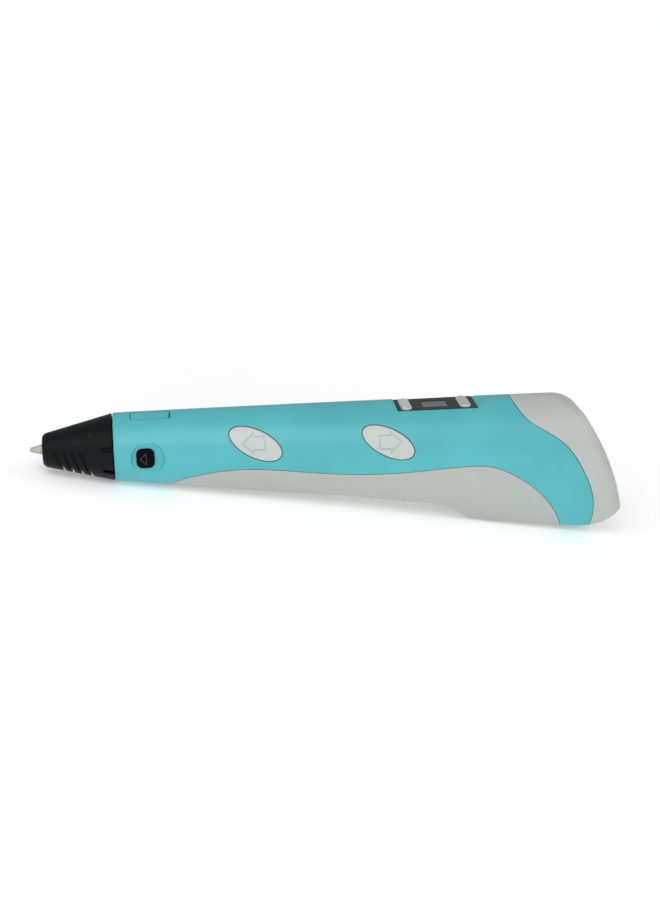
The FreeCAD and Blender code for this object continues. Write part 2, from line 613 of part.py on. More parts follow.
groove = helper("thread", thread_groove(dim.screw_radius, dim.thread_depth, dim.thread_pitch,
                                        dim.screw_length + 2))
groove.Placement = along(screw_axis + X_AXIS * (dim.screw_start - 1), X_AXIS)
screw_blank = fuse("screw_blank", [
    rod("screw_thread_blank", "screw_radius", "screw_length", screw_axis + X_AXIS * dim.screw_start),
    rod("screw_shaft", "shaft_radius", "shaft_end - block_start - 0.2",
        screw_axis + X_AXIS * (dim.block_start + 0.2))])
node("drive_screw", cut("drive_screw", screw_blank, [groove]))
node("driven_gear", gear("driven_gear", dim.driven_teeth, dim.shaft_radius, screw_axis, 0))
half_tooth = 180 / dim.pinion_teeth
node("pinion", gear("pinion", dim.pinion_teeth, dim.output_radius, motor_axis, half_tooth))
node("output_shaft", rod("output_shaft", "output_radius", "gearbox_start - gear_start - 0.1",
                         motor_axis + X_AXIS * dim.gear_start))

motor_end = dim.gearbox_start + dim.gearbox_length
node("motor_plate", cut("motor_plate", block(
    "plate_blank", "plate_thickness", "2 * motor_radius", "16.4",
    Vector(dim.gearbox_start - dim.plate_thickness, -dim.motor_radius, -13.6)), [
        rod("plate_shaft_hole", "output_radius + 1", "9", motor_axis + X_AXIS * 72),
        rod("plate_tube_hole", "guide_radius", "9", Vector(72, 0, 0))]))
node("gearbox_case", rod("gearbox_case", "motor_radius - 0.1", "gearbox_length",
                         motor_axis + X_AXIS * dim.gearbox_start))
node("motor_can", rod("motor_can", "motor_radius", "can_length", motor_axis + X_AXIS * motor_end))
node("motor_cap", revolved("motor_cap", [
    ("0", "0"), ("0", "motor_radius - 0.2"), ("motor_cap", "motor_radius - 0.6"),
    ("motor_cap", "1.6"), ("motor_cap + 1", "1.6"), ("motor_cap + 1", "0")],
    motor_axis + X_AXIS * (motor_end + dim.can_length)))

pivot = Vector(dim.lever_pivot_x, 0, dim.lever_pivot_z)
roller_centre = Vector(dim.roller_x, 0, dim.filament_radius + dim.roller_radius)
node("lever_pin", rod("lever_pin", "pin_radius", "2 * block_half_width",
                      pivot - Y_AXIS * dim.block_half_width, Y_AXIS))


def spring_turn(index):
    """One closed turn of the spring's close-wound coil round the lever pin."""
    turn = bind(doc.addObject("Part::Torus", f"spring_turn_{index}"),
                Radius1="spring_radius", Radius2="spring_wire")
    offset = (index - (SPRING_TURNS - 1) / 2) * 2.2 * dim.spring_wire
    turn.Placement = along(pivot + Y_AXIS * offset, Y_AXIS)
    return turn


SPRING_TURNS = 5
node("lever_spring", group("lever_spring", [spring_turn(k) for k in range(SPRING_TURNS)]))


def idler_lever():
    """Forked lever: two side plates joined behind the roller by a web."""
    plates = slab("lever_sides", [
        ("lever_pivot_x - 1.7", "lever_pivot_z - 1.6"), ("lever_end - 6", "lever_pivot_z - 2.9"),
        ("lever_end", "lever_pivot_z - 1.6"), ("lever_end", "lever_pivot_z + 1.1"),
        ("lever_pivot_x - 1.7", "lever_pivot_z + 1.5")], "2 * lever_half_width")
    fork = block("lever_fork", "roller_x + roller_radius - 39.6",
                 "2 * lever_half_width - 2 * lever_plate", "20",
                 Vector(40, dim.lever_plate - dim.lever_half_width, -4))
    return cut("idler_lever", plates, [
        fork,
        rod("lever_hole", "pin_radius + running_gap", "20", pivot - Y_AXIS * 10, Y_AXIS),
        rod("axle_hole", "axle_radius", "20", roller_centre - Y_AXIS * 10, Y_AXIS)])


node("idler_lever", idler_lever())
node("roller_axle", rod("roller_axle", "axle_radius", "2 * lever_half_width",
                        roller_centre - Y_AXIS * dim.lever_half_width, Y_AXIS))
node("idler_roller", revolved("idler_roller", [
    ("-roller_width / 2", "axle_radius + running_gap"),
    ("roller_width / 2", "axle_radius + running_gap"), ("roller_width / 2", "roller_radius"),
    ("0.6", "roller_radius"), ("0", "roller_radius - roller_groove"), ("-0.6", "roller_radius"),
    ("-roller_width / 2", "roller_radius")], roller_centre, Y_AXIS))

node("guide_tube", tube("guide_tube", "guide_radius", "guide_bore",
                        "gearbox_start - plate_thickness", "inlet_start"))
inlet = revolved("inlet_blank", [
    ("inlet_start", "guide_bore"), ("inlet_start + 12", "guide_bore"),
    ("inlet_start + 12", "inlet_radius"), ("inlet_start", "inlet_radius")])
node("inlet_collar", common("inlet_collar", inlet, outer))

# ---------------------------------------------------------------- electronics
board_face = -dim.board_inner - dim.board_thickness
node("main_board", block("main_board", "board_end - board_start", "board_thickness",
                         "board_height", Vector(dim.board_start, board_face, dim.board_low)))


def tact_switch(name, centre, normal):
    """Low square switch body with a round plunger."""
    frame = Rotation(Z_AXIS, normal)
    body = block(name + "_body", "switch_side", "switch_side", "switch_height", Vector())
    body.Placement = Placement(centre - frame.multVec(Vector(1, 1, 0)) * (dim.switch_side / 2), frame)
    plunger = rod(name + "_plunger", "plunger_radius", "switch_height + plunger_height", centre, normal)
    return fuse(name, [body, plunger])


def button_tip(x, z):
    point, normal = side_normal(x, z)
    return point - normal * dim.stem_end - Z_AXIS * dim.switch_drop


switch_spots = [heat_centre] + [button_tip(x, z) for x, z in OVALS.values()]
node("side_switches", group("side_switches", [
    tact_switch(f"side_switch_{k}", Vector(spot.x, board_face, spot.z), -Y_AXIS)
    for k, spot in enumerate(switch_spots)]))
node("controller_chip", block(
    "controller_chip", "controller_side", "controller_height", "controller_side",
    Vector(dim.controller_x, board_face - dim.controller_height, -2.8)))
DRIVER_PLACES = (48, 94)
node("driver_chips", group("driver_chips", [
    block(f"driver_chip_{k}", "driver_length", "driver_height", "driver_width",
          Vector(x, board_face - dim.driver_height, -1.8)) for k, x in enumerate(DRIVER_PLACES)]))
node("power_connector", block("power_connector", "plug_length", "plug_depth", "plug_height",
                              Vector(dim.plug_x, board_face - dim.plug_depth, -2.6)))

display_centre_x = (dim.facet_start + dim.facet_end) / 2
node("display_board", block(
    "display_board", "display_board_length", "display_board_width", "board_thickness",
    Vector(display_centre_x - dim.display_board_length / 2, -dim.display_board_width / 2,
           dim.display_board_z)))
display_top = dim.display_board_z + dim.board_thickness
key_places = (dim.front_key_x, dim.rear_key_x)
node("key_switches", group("key_switches", [
    tact_switch(f"key_switch_{k}", Vector(x, 0, display_top), Z_AXIS)
    for k, x in enumerate(key_places)]))
lcd_top = dim.facet_z - dim.panel_thickness - 0.1
node("lcd_module", fuse("lcd_module", [
    block("lcd_body", "window_length + 2.4", "window_width + 3", str(round(lcd_top - display_top, 3)),
          Vector(dim.window_start - 1.2, -dim.window_width / 2 - 1.5, display_top)),
    block("lcd_glass", "window_length - 0.2", "window_width - 0.2", "panel_thickness",
          Vector(dim.window_start + 0.1, 0.1 - dim.window_width / 2, lcd_top))]))


def stadium(name, x, width, length, low, high):
    """Upright prism with a round-ended outline that lies across the pen."""
    reach = length / 2 - width / 2
    ends = [rod(f"{name}_end_{k}", str(width / 2), str(round(high - low, 3)),
                Vector(x, side * reach, low), Z_AXIS) for k, side in enumerate((-1, 1))]
    bar = block(name + "_bar", str(width), str(2 * reach), str(round(high - low, 3)),
                Vector(x - width / 2, -reach, low))
    return fuse(name, ends + [bar])


def panel():
    plate = block("panel_blank", "facet_end - facet_start", "2 * panel_half_width",
                  "panel_thickness", Vector(dim.facet_start, -dim.panel_half_width,
                                            dim.facet_z - dim.panel_thickness))
    slots = [stadium(f"key_slot_{k}", x, dim.key_width + 2 * dim.button_gap,
                     dim.key_length + 2 * dim.button_gap, 5, 12) for k, x in enumerate(key_places)]
    window = block("window_cut", "window_length", "window_width", "10",
                   Vector(dim.window_start, -dim.window_width / 2, 5))
    return cut("display_panel", rounded("panel_plate", plate, 0.8), slots + [window])


node("display_panel", panel())


def key_cap(label, x):
    """Round-ended key with a soft upper rim and a thin lip under the panel."""
    top = dim.facet_z + dim.key_proud
    blank = stadium(label + "_blank", x, dim.key_width, dim.key_length, dim.key_base, top)
    doc.recompute()
    solid = blank.Shape.removeSplitter()
    rim = [edge for edge in solid.Edges if edge.optimalBoundingBox().ZMin > top - 0.01]
    cap = helper(label + "_cap", solid.makeFillet(dim.key_round, rim))
    flange = stadium(label + "_flange", x, dim.key_width + 2 * dim.key_lip,
                     dim.key_length - 2 * dim.key_lip, dim.key_base, dim.key_base + 0.2)
    return fuse(label, [cap, flange])


node("front_key", key_cap("front_key", dim.front_key_x))
RIBS = (-2, -1, 0, 1, 2)
node("rear_key", cut("rear_key", key_cap("ribless_key", dim.rear_key_x), [
    block(f"rib_groove_{k}", "rib_width", "key_length - 2", "1",
          Vector(dim.rear_key_x + k * dim.rib_pitch - dim.rib_width / 2, 1 - dim.key_length / 2,
                 dim.facet_z + dim.key_proud - dim.rib_depth)) for k in RIBS]))

node("power_board", block("power_board", "power_board_length", "power_board_width",
                          "board_thickness", Vector(dim.power_board_start,
                                                    -dim.power_board_width / 2, dim.power_board_z)))
power_top = dim.power_board_z + dim.board_thickness
node("inductor", rod("inductor", "inductor_radius", "inductor_height",
                     Vector(dim.inductor_x, dim.inductor_y, power_top), Z_AXIS))
node("capacitors", group("capacitors", [
    rod(f"capacitor_{k}", "capacitor_radius", "capacitor_height",
        Vector(dim.capacitor_x, side * dim.capacitor_y, power_top), Z_AXIS)
    for k, side in enumerate((-1, 1))]))

jack_corner = jack_axis - Vector(0, dim.jack_side / 2, dim.jack_side / 2)
jack_body = fuse("jack_body", [
    block("jack_box", "jack_length", "jack_side", "jack_side", jack_corner),
    common("jack_collar_trimmed", rod("jack_collar_rod", "jack_collar", "25", jack_axis), outer)])
jack_bore = rod("jack_bore_tool", "jack_bore", "30", jack_axis + X_AXIS * 4)
node("power_jack", cut("power_jack", jack_body, [jack_bore]))
node("jack_pin", rod("jack_pin", "jack_pin", "9.5", jack_axis + X_AXIS * 4))

# ---------------------------------------------------------------- push buttons and latch
def layer(name, outer_inset, inner_inset):
    """Skin of the housing between two insets."""
    return helper(name, housing_loft(outer_inset).cut(housing_loft(inner_inset)))


def soft_cap(name, skin_layer, prism, point, normal):
    """Cap cut from the housing skin by a prism, with its outer rim rounded."""
    doc.recompute()
    solid = skin_layer.Shape.common(prism.Shape).Solids[0]
    rim = [edge for edge in solid.Edges
           if edge.Length > 3 and (edge.CenterOfMass - point).dot(normal) > -0.9]
    return helper(name, solid.makeFillet(dim.rim_round, rim))


def line_mark(name, corners, point, normal, skin_layer):
    """Groove along a closed polygon that is drawn on the surface at a point."""
    loop = [Vector(along_pen, upward, 0) for along_pen, upward in corners]
    face = Part.Face(Part.makePolygon(loop + loop[:1]))
    grown = face.makeOffset2D(dim.mark_line / 2, 2)
    shrunk = face.makeOffset2D(-dim.mark_line / 2, 2)
    band = grown.cut(shrunk).extrude(Vector(0, 0, 12))
    frame = Rotation(X_AXIS, normal.cross(X_AXIS), normal, "ZXY")
    band.Placement = Placement(point - normal * 6, frame)
    return helper(name, band.common(skin_layer.Shape))


def block_arrow(way):
    """Corners of an arrow that points along X in the given way, moved on by the shift."""
    tip = way * (dim.arrow_shift + dim.arrow_length / 2)
    neck, tail = tip - way * dim.arrow_head, tip - way * dim.arrow_length
    wide, narrow = dim.arrow_width / 2, dim.arrow_shaft / 2
    return [(tip, 0), (neck, wide), (neck, narrow), (tail, narrow), (tail, -narrow),
            (neck, -narrow), (neck, -wide)]


cap_layer = layer("cap_layer", -dim.button_proud, dim.flange_end)
flange_layer = layer("flange_layer", dim.flange_depth, dim.flange_end)
mark_layer = layer("mark_layer", -2 * dim.button_proud, dim.mark_depth - dim.button_proud)
for (name, (x, z)), way in zip(OVALS.items(), (-1, 1)):
    cap_prism, point, normal = oval_prism(name + "_cap_prism", x, z, 0, 6)
    flange_prism, _, _ = oval_prism(name + "_flange_prism", x, z, dim.flange_lip, 6)
    stem = rod(name + "_stem", "stem_radius", "stem_end - flange_depth",
               point - normal * dim.stem_end, normal)
    blank = fuse(name + "_blank", [
        soft_cap(name + "_cap", cap_layer, cap_prism, point, normal),
        common(name + "_flange", flange_layer, flange_prism), stem])
    node(name + "_button", cut(name + "_button", blank, [
        line_mark(name + "_arrow", block_arrow(way), point, normal, mark_layer)]))

heat_point, heat_normal = side_normal(dim.heat_x, dim.heat_z)
heat_layer = layer("heat_layer", -dim.heat_proud, dim.heat_flange_end)
heat_flange_layer = layer("heat_flange_layer", dim.flange_depth, dim.heat_flange_end)
heat_mark_layer = layer("heat_mark_layer", -2 * dim.heat_proud, dim.mark_depth - dim.heat_proud)
ridge_layer = layer("ridge_layer", -dim.heat_proud - dim.ridge_height, 0.5)
triangle = line_mark("heat_triangle", [
    (-dim.triangle_tip, 0), (dim.triangle_base, dim.triangle_width / 2),
    (dim.triangle_base, -dim.triangle_width / 2)], heat_point, heat_normal, heat_mark_layer)
ridge = common("heat_ridge", ridge_layer, block(
    "ridge_block", "ridge_width", "20", "ridge_length",
    Vector(dim.heat_x + dim.ridge_start, -20, dim.heat_z - dim.ridge_length / 2)))
heat_blank = fuse("heat_blank", [
    common("heat_cap", heat_layer, heat_prism("heat_cap_prism", 0, 4, 14)),
    common("heat_flange", heat_flange_layer, heat_prism("heat_flange_prism", 0.6, 4, 14)), ridge])
node("heat_button", cut("heat_button", heat_blank, [triangle]))

latch_layer = layer("latch_layer", 0, 2.8)
latch_flange_layer = layer("latch_flange_layer", 2.1, 2.8)
node("release_latch", fuse("release_latch", [
    common("latch_cap", latch_layer,
           latch_box("latch_plate", (0.2, 0.45), 0.2, dim.latch_gap, 4, 14, 0.8)),
    common("latch_flange", latch_flange_layer,
           latch_box("latch_flange_plate", (1.2, -0.6), -0.6, -0.6, 4, 14, 0.8))]))

# ---------------------------------------------------------------- rest placement and output
doc.recompute()
faults = [item.Name for item in doc.Objects if {"Invalid", "Error"} & set(item.State)]
if faults:
    raise RuntimeError("failed objects: " + ", ".join(faults))

# The pen rests on the lower rim of its front ring and on the front edge of its heel.
heel_run = HEEL_EDGE[0] - dim.housing_start
heel_fall = -HEEL_EDGE[1] - dim.ring_radius
rest_turn = Rotation(Y_AXIS, -math.degrees(math.atan2(heel_fall, heel_run)))


def overall_box(turn):
    """Exact bounding box of all sub-parts after a turn about the nozzle tip."""
    total = FreeCAD.BoundBox()
    for item in nodes:
        shape = item.Shape.copy()
        shape.Placement = Placement(Vector(), turn).multiply(shape.Placement)
        total.add(shape.optimalBoundingBox(False))
    return total


box = overall_box(rest_turn)
rest = Placement(Vector(-box.Center.x, -box.Center.y, -box.ZMin), rest_turn)
for item in nodes:
    item.Placement = rest.multiply(item.Placement)
doc.recompute()

os.makedirs("parts", exist_ok=True)
for item in nodes:
    shape = item.Shape
    if {"Invalid", "Error"} & set(item.State) or shape.isNull() or not shape.isValid():
        raise RuntimeError(f"bad sub-part: {item.Label}")
    shape.exportStep(f"parts/{item.Label}.step")
print(f"{len(nodes)} sub-parts, overall {box.XLength:.1f} x {box.YLength:.1f} x {box.ZLength:.1f} mm")
print("rest placement:", rest)
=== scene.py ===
import json
import math

import bmesh
import bpy
from mathutils import Matrix, Vector
from mathutils.bvhtree import BVHTree


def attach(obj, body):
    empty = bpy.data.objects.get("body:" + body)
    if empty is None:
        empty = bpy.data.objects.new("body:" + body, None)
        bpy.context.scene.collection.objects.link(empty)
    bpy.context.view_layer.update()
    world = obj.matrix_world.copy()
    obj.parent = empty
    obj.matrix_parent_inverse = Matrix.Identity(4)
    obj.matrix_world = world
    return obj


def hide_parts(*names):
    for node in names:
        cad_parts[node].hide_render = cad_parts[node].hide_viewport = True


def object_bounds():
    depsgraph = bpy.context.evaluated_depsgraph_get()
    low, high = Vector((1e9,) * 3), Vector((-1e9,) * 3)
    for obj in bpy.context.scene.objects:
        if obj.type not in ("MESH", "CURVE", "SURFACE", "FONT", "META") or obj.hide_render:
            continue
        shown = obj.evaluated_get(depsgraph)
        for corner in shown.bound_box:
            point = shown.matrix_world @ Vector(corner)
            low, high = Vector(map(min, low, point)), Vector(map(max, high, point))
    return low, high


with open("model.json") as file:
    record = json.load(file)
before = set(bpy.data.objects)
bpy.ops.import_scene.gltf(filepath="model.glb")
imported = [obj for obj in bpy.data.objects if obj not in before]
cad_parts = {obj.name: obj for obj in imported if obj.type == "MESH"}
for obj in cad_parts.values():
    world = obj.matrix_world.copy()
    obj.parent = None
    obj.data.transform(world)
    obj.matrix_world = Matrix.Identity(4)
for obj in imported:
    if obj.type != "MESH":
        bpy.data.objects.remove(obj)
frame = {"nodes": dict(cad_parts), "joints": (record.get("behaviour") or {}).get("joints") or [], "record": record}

# Looks of the filament pen.  Lengths in the code are millimetres in the pen's own frame unless a
# name says otherwise: origin just ahead of the nozzle, X rearwards along the filament, Z up.
cad_low, cad_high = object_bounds()
MM = 0.001
nodes, record = frame["nodes"], frame["record"]
joints = {joint["name"]: joint for joint in frame["joints"]}
pen_x = -Vector(joints["nose_cap_pull"]["axis"])
pen_z = -Vector(joints["latch_press"]["axis"])
pen_y = pen_z.cross(pen_x)

# The filament bore's middle is the one recorded point on the pen's own X axis.
BORE_MIDDLE = 123.6
bore = next(mount for mount in record["mounts"] if mount["name"] == "filament_inlet")
origin = Vector(bore["pos_m"]) - pen_x * BORE_MIDDLE * MM
PEN = Matrix((pen_x, pen_y, pen_z)).transposed()


def spot(x, y, z):
    """Place of a point of the pen's own frame, in metres."""
    return origin + PEN @ (Vector((x, y, z)) * MM)


# ---------------------------------------------------------------- camera and light
scene = bpy.context.scene
centre = (cad_low + cad_high) / 2
# Camera place in the pen's frame, and its turn about Z, tilt downwards and roll.
VIEW_FROM = (38.4, -469.81, 157.96)
VIEW_TURN, VIEW_TILT, VIEW_ROLL = math.radians(6.4), math.radians(19), math.radians(-1.0035)
VIEW_LENS, SENSOR_WIDTH = 65.35, 36
CLIP_NEAR, CLIP_FAR = 0.01, 50
# Light: azimuth, elevation, distance and size in metres, power in watts.
KEY_LIGHT = (-25, 42, 0.75, 0.6, 3.1)
SIDE_LIGHT = (100, 38, 1.2, 0.8, 1.8)
SKY_STRENGTH = 0.42


def direction_from(azimuth, elevation):
    """Unit vector from the object towards a viewer; azimuth 0 is the -Y side."""
    a, e = math.radians(azimuth), math.radians(elevation)
    return Vector((math.sin(a) * math.cos(e), -math.cos(a) * math.cos(e), math.sin(e)))


camera_data = bpy.data.cameras.new("camera")
camera_data.lens = VIEW_LENS
camera_data.sensor_width = SENSOR_WIDTH
camera_data.clip_start, camera_data.clip_end = CLIP_NEAR, CLIP_FAR
camera = bpy.data.objects.new("camera", camera_data)
scene.collection.objects.link(camera)
scene.camera = camera
level = Vector((math.cos(VIEW_TURN), -math.sin(VIEW_TURN), 0))
raised = Vector((math.sin(VIEW_TURN) * math.sin(VIEW_TILT), math.cos(VIEW_TURN) * math.sin(VIEW_TILT),
                 math.cos(VIEW_TILT)))
view_right = level * math.cos(VIEW_ROLL) + raised * math.sin(VIEW_ROLL)
view_up = raised * math.cos(VIEW_ROLL) - level * math.sin(VIEW_ROLL)
view_axes = PEN @ Matrix((view_right, view_up, view_right.cross(view_up))).transposed()
camera.matrix_world = Matrix.Translation(spot(*VIEW_FROM)) @ view_axes.to_4x4()

scene.view_settings.view_transform = "Standard"
scene.view_settings.look = "None"


def softbox(name, azimuth, elevation, distance, size, power):
    """Square soft light that faces the pen."""
    data = bpy.data.lights.new(name, "AREA")
    data.shape = "SQUARE"
    data.size = size
    data.energy = power
    light = bpy.data.objects.new(name, data)
    scene.collection.objects.link(light)
    away = direction_from(azimuth, elevation)
    light.location = centre + away * distance
    light.rotation_mode = "QUATERNION"
    light.rotation_quaternion = (-away).to_track_quat("-Z", "Y")
    return light


softbox("key_light", *KEY_LIGHT)
softbox("side_light", *SIDE_LIGHT)
world = bpy.data.worlds.new("studio")
world.use_nodes = True
world.node_tree.nodes["Background"].inputs["Color"].default_value = (1, 1, 1, 1)
world.node_tree.nodes["Background"].inputs["Strength"].default_value = SKY_STRENGTH
scene.world = world


# ---------------------------------------------------------------- materials
class Look:
    """Small builder of one node-based material."""

    def __init__(self, name):
        self.material = bpy.data.materials.new(name)
        self.material.use_nodes = True
        self.tree = self.material.node_tree
        self.shader = self.tree.nodes["Principled BSDF"]
        self.place = self.add("ShaderNodeTexCoord").outputs["Object"]

    def add(self, kind, **values):
        item = self.tree.nodes.new(kind)
        for key, value in values.items():
            setattr(item, key, value)
        return item

    def link(self, output, target):
        self.tree.links.new(output, target)

    def number(self, socket, value):
        """Uniform value, set directly on the shader's socket."""
        self.shader.inputs[socket].default_value = value

    def noise(self, scale, detail=3, stretch=None):
        """Noise value over the surface; the scale is in cells per metre."""
        item = self.add("ShaderNodeTexNoise")
        item.inputs["Scale"].default_value = scale
        item.inputs["Detail"].default_value = detail
        source = self.place
        if stretch:
            mapping = self.add("ShaderNodeMapping")
            mapping.inputs["Scale"].default_value = stretch
            self.link(source, mapping.inputs["Vector"])
            source = mapping.outputs["Vector"]
        self.link(source, item.inputs["Vector"])
        return item.outputs["Fac"]

    def ramp(self, value, low, high, first, second):
        """Blend of two colours as a value goes from low to high."""
        item = self.add("ShaderNodeValToRGB")
        item.color_ramp.elements[0].position = low
        item.color_ramp.elements[1].position = high
        item.color_ramp.elements[0].color = (*first, 1)
        item.color_ramp.elements[1].color = (*second, 1)
        self.link(value, item.inputs["Fac"])
        return item.outputs["Color"]

    def remap(self, value, low, high, first, second):
        """Number that goes from first to second as a value goes from low to high."""
        item = self.add("ShaderNodeMapRange")
        for key, number in (("From Min", low), ("From Max", high), ("To Min", first), ("To Max", second)):
            item.inputs[key].default_value = number
        self.link(value, item.inputs["Value"])
        return item.outputs["Result"]

    def mix(self, share, first, second, mode="MIX"):
        """Mix of two colours; the share may be a number or a socket."""
        item = self.add("ShaderNodeMix", data_type="RGBA", blend_type=mode)
        first_colour, second_colour = [socket for socket in item.inputs if socket.type == "RGBA"]
        self.feed(item.inputs[0], share)
        self.feed(first_colour, first)
        self.feed(second_colour, second)
        return next(out for out in item.outputs if out.type == "RGBA")

    def feed(self, socket, value):
        """Give a socket a number, a colour or another node's output."""
        if isinstance(value, bpy.types.NodeSocket):
            self.link(value, socket)
        elif isinstance(value, (int, float)):
            socket.default_value = value
        else:
            socket.default_value = (*value, 1)

    def colour(self, value):
        self.feed(self.shader.inputs["Base Color"], value)

    def rough(self, value, spread, scale):
        """Roughness that wanders a little round a value."""
        self.link(self.remap(self.noise(scale), 0.3, 0.7, value - spread, value + spread),
                  self.shader.inputs["Roughness"])

    def bump(self, *layers, soften=0.0):
        """Stacked bumps of (height value, strength, distance in metres); edges may be softened."""
        normal = None
        if soften:
            edge = self.add("ShaderNodeBevel", samples=4)
            edge.inputs["Radius"].default_value = soften
            normal = edge.outputs["Normal"]
        for height, strength, distance in layers:
            item = self.add("ShaderNodeBump")
            item.inputs["Strength"].default_value = strength
            item.inputs["Distance"].default_value = distance
            self.link(height, item.inputs["Height"])
            if normal:
                self.link(normal, item.inputs["Normal"])
            normal = item.outputs["Normal"]
        self.link(normal, self.shader.inputs["Normal"])


def shade(colour, factor):
    return tuple(min(channel * factor, 1) for channel in colour)


def moulded(name, colour, rough, spread=0.05, grain=3800, depth=0.35, tint=0.05, soften=0.0,
            specular=0.5):
    """Moulded plastic: fine spark-eroded grain, faint flow marks and slight tone changes."""
    look = Look(name)
    broad = look.noise(45, 2)
    tone = look.ramp(broad, 0.35, 0.65, shade(colour, 1 - tint), shade(colour, 1 + tint))
    speck = look.noise(grain * 0.6, 2)
    tone = look.mix(look.remap(speck, 0.5, 0.8, 0.0, 0.25), tone, shade(colour, 0.88))
    look.colour(tone)
    look.rough(rough, spread, 320)
    look.number("Specular IOR Level", specular)
    look.bump((look.noise(grain, 2), depth, 0.00004), (look.noise(190, 2), 0.12, 0.0004),
              soften=soften)
    return look.material


def metal(name, colour, rough, stretch=(1, 1, 1), tint=0.12):
    """Bare metal with fine machining marks that run across the stretched axis."""
    look = Look(name)
    marks = look.noise(2600, 3, stretch)
    look.colour(look.ramp(marks, 0.3, 0.7, shade(colour, 1 - tint), shade(colour, 1 + tint)))
    look.rough(rough, 0.08, 900)
    look.number("Metallic", 1.0)
    look.bump((marks, 0.3, 0.00003))
    return look.material


TEAL, GREY, BUTTON = (0.092, 0.465, 0.512), (0.455, 0.48, 0.46), (0.54, 0.58, 0.56)
teal = moulded("teal_shell_plastic", TEAL, 0.36, grain=3200, depth=0.5, soften=0.00025,
               specular=0.36)
grey = moulded("grey_cover_plastic", GREY, 0.42, soften=0.00025, tint=0.025)
# Rear cap and inlet collar: the same grey plastic made 8 % lighter, painted light standing in for the brighter
# light that falls on the rear cap.
lit_rear_grey = moulded("grey_tail_plastic_painted_lighter", shade(GREY, 1.08), 0.42, soften=0.00025, tint=0.025)
button = moulded("button_plastic", BUTTON, 0.40, grain=5200, depth=0.2, tint=0.02)
key_plastic = moulded("key_plastic", BUTTON, 0.44, grain=5200, depth=0.25, tint=0.03)
heat_plastic = moulded("heat_button_plastic", (0.0018, 0.0024, 0.0024), 0.4, grain=5000,
                      specular=0.06)
nose_plastic = moulded("nose_guard_plastic", (0.0045, 0.0068, 0.0064), 0.42, grain=3000, depth=0.8,
                       tint=0.2, soften=0.0002, specular=0.11)
panel_gloss = moulded("panel_acrylic", (0.016, 0.024, 0.022), 0.3, grain=6500, depth=0.05,
                     specular=0.1)
holder_plastic = moulded("holder_plastic", (0.02, 0.02, 0.022), 0.5)
white_tube = moulded("guide_tube_plastic", (0.74, 0.74, 0.71), 0.3, grain=4200, depth=0.15)
block_plastic = moulded("feed_block_plastic", (0.035, 0.036, 0.04), 0.45)
switch_plastic = moulded("switch_plastic", (0.028, 0.028, 0.03), 0.42)
chip_plastic = moulded("chip_epoxy", (0.018, 0.018, 0.02), 0.55, grain=8000)
steel = metal("ground_steel", (0.56, 0.56, 0.58), 0.3, (1, 6, 6))
dark_steel = metal("black_zinc_steel", (0.07, 0.07, 0.075), 0.38)
brass = metal("turned_brass", (0.72, 0.53, 0.22), 0.28, (6, 1, 1))
barrel_metal = metal("barrel_aluminium", (0.72, 0.72, 0.74), 0.32, (8, 1, 1))


def ceramic():
    """Off-white glazed ceramic, a little scorched towards its tip."""
    look = Look("nozzle_ceramic")
    tone = look.ramp(look.noise(700), 0.35, 0.7, (0.47, 0.46, 0.40), (0.55, 0.54, 0.49))
    apart = look.add("ShaderNodeSeparateXYZ")
    look.link(look.place, apart.inputs["Vector"])
    scorch = look.remap(apart.outputs["X"], spot(0, 0, 0).x, spot(2.4, 0, 0).x, 0.15, 0.0)
    look.colour(look.mix(scorch, tone, (0.20, 0.15, 0.10)))
    look.rough(0.34, 0.06, 900)
    look.bump((look.noise(4000), 0.2, 0.00003))
    return look.material


def board():
    """Green solder mask with lighter copper tracks under it."""
    look = Look("circuit_board")
    weave = look.noise(5200, 2)
    mask = look.ramp(weave, 0.3, 0.7, (0.006, 0.085, 0.035), (0.010, 0.115, 0.05))
    tracks = look.add("ShaderNodeTexBrick")
    tracks.inputs["Scale"].default_value = 260
    tracks.inputs["Mortar Size"].default_value = 0.09
    tracks.inputs["Color1"].default_value = (0, 0, 0, 1)
    tracks.inputs["Color2"].default_value = (0, 0, 0, 1)
    tracks.inputs["Mortar"].default_value = (1, 1, 1, 1)
    look.link(look.place, tracks.inputs["Vector"])
    look.colour(look.mix(tracks.outputs["Color"], mask, (0.03, 0.22, 0.09)))
    look.rough(0.32, 0.05, 1500)
    look.bump((tracks.outputs["Color"], 0.3, 0.00003))
    return look.material


def display_glass():
    """Unlit display: grey-green film with painted shading, lighter on one side and darker on the other across the
    pen, with a faint mottle.
    """
    look = Look("display_film")
    apart = look.add("ShaderNodeSeparateXYZ")
    look.link(look.place, apart.inputs["Vector"])
    # Painted shading: the film goes from lighter to darker across the pen's width, along Y.
    painted_shade_across = look.remap(apart.outputs["Y"], -0.0029, 0.0029, 0.0, 1.0)
    tone = look.ramp(painted_shade_across, 0.0, 1.0, (0.125, 0.165, 0.145), (0.070, 0.090, 0.080))
    look.colour(look.mix(look.remap(look.noise(900), 0.4, 0.7, 0, 0.3), tone, (0.10, 0.13, 0.115)))
    look.rough(0.2, 0.04, 700)
    look.bump((look.noise(2500), 0.05, 0.00002))
    return look.material


def sleeve_film():
    """Shrunk plastic sleeve of a capacitor with a pale polarity stripe."""
    look = Look("capacitor_sleeve")
    apart = look.add("ShaderNodeSeparateXYZ")
    look.link(look.place, apart.inputs["Vector"])
    stripe = look.remap(apart.outputs["X"], spot(151.7, 0, -17).x, spot(152.2, 0, -17).x, 1.0, 0.0)
    look.colour(look.mix(stripe, (0.02, 0.02, 0.045), (0.5, 0.5, 0.5)))
    look.rough(0.3, 0.06, 700)
    look.bump((look.noise(1800), 0.15, 0.00004))
    return look.material


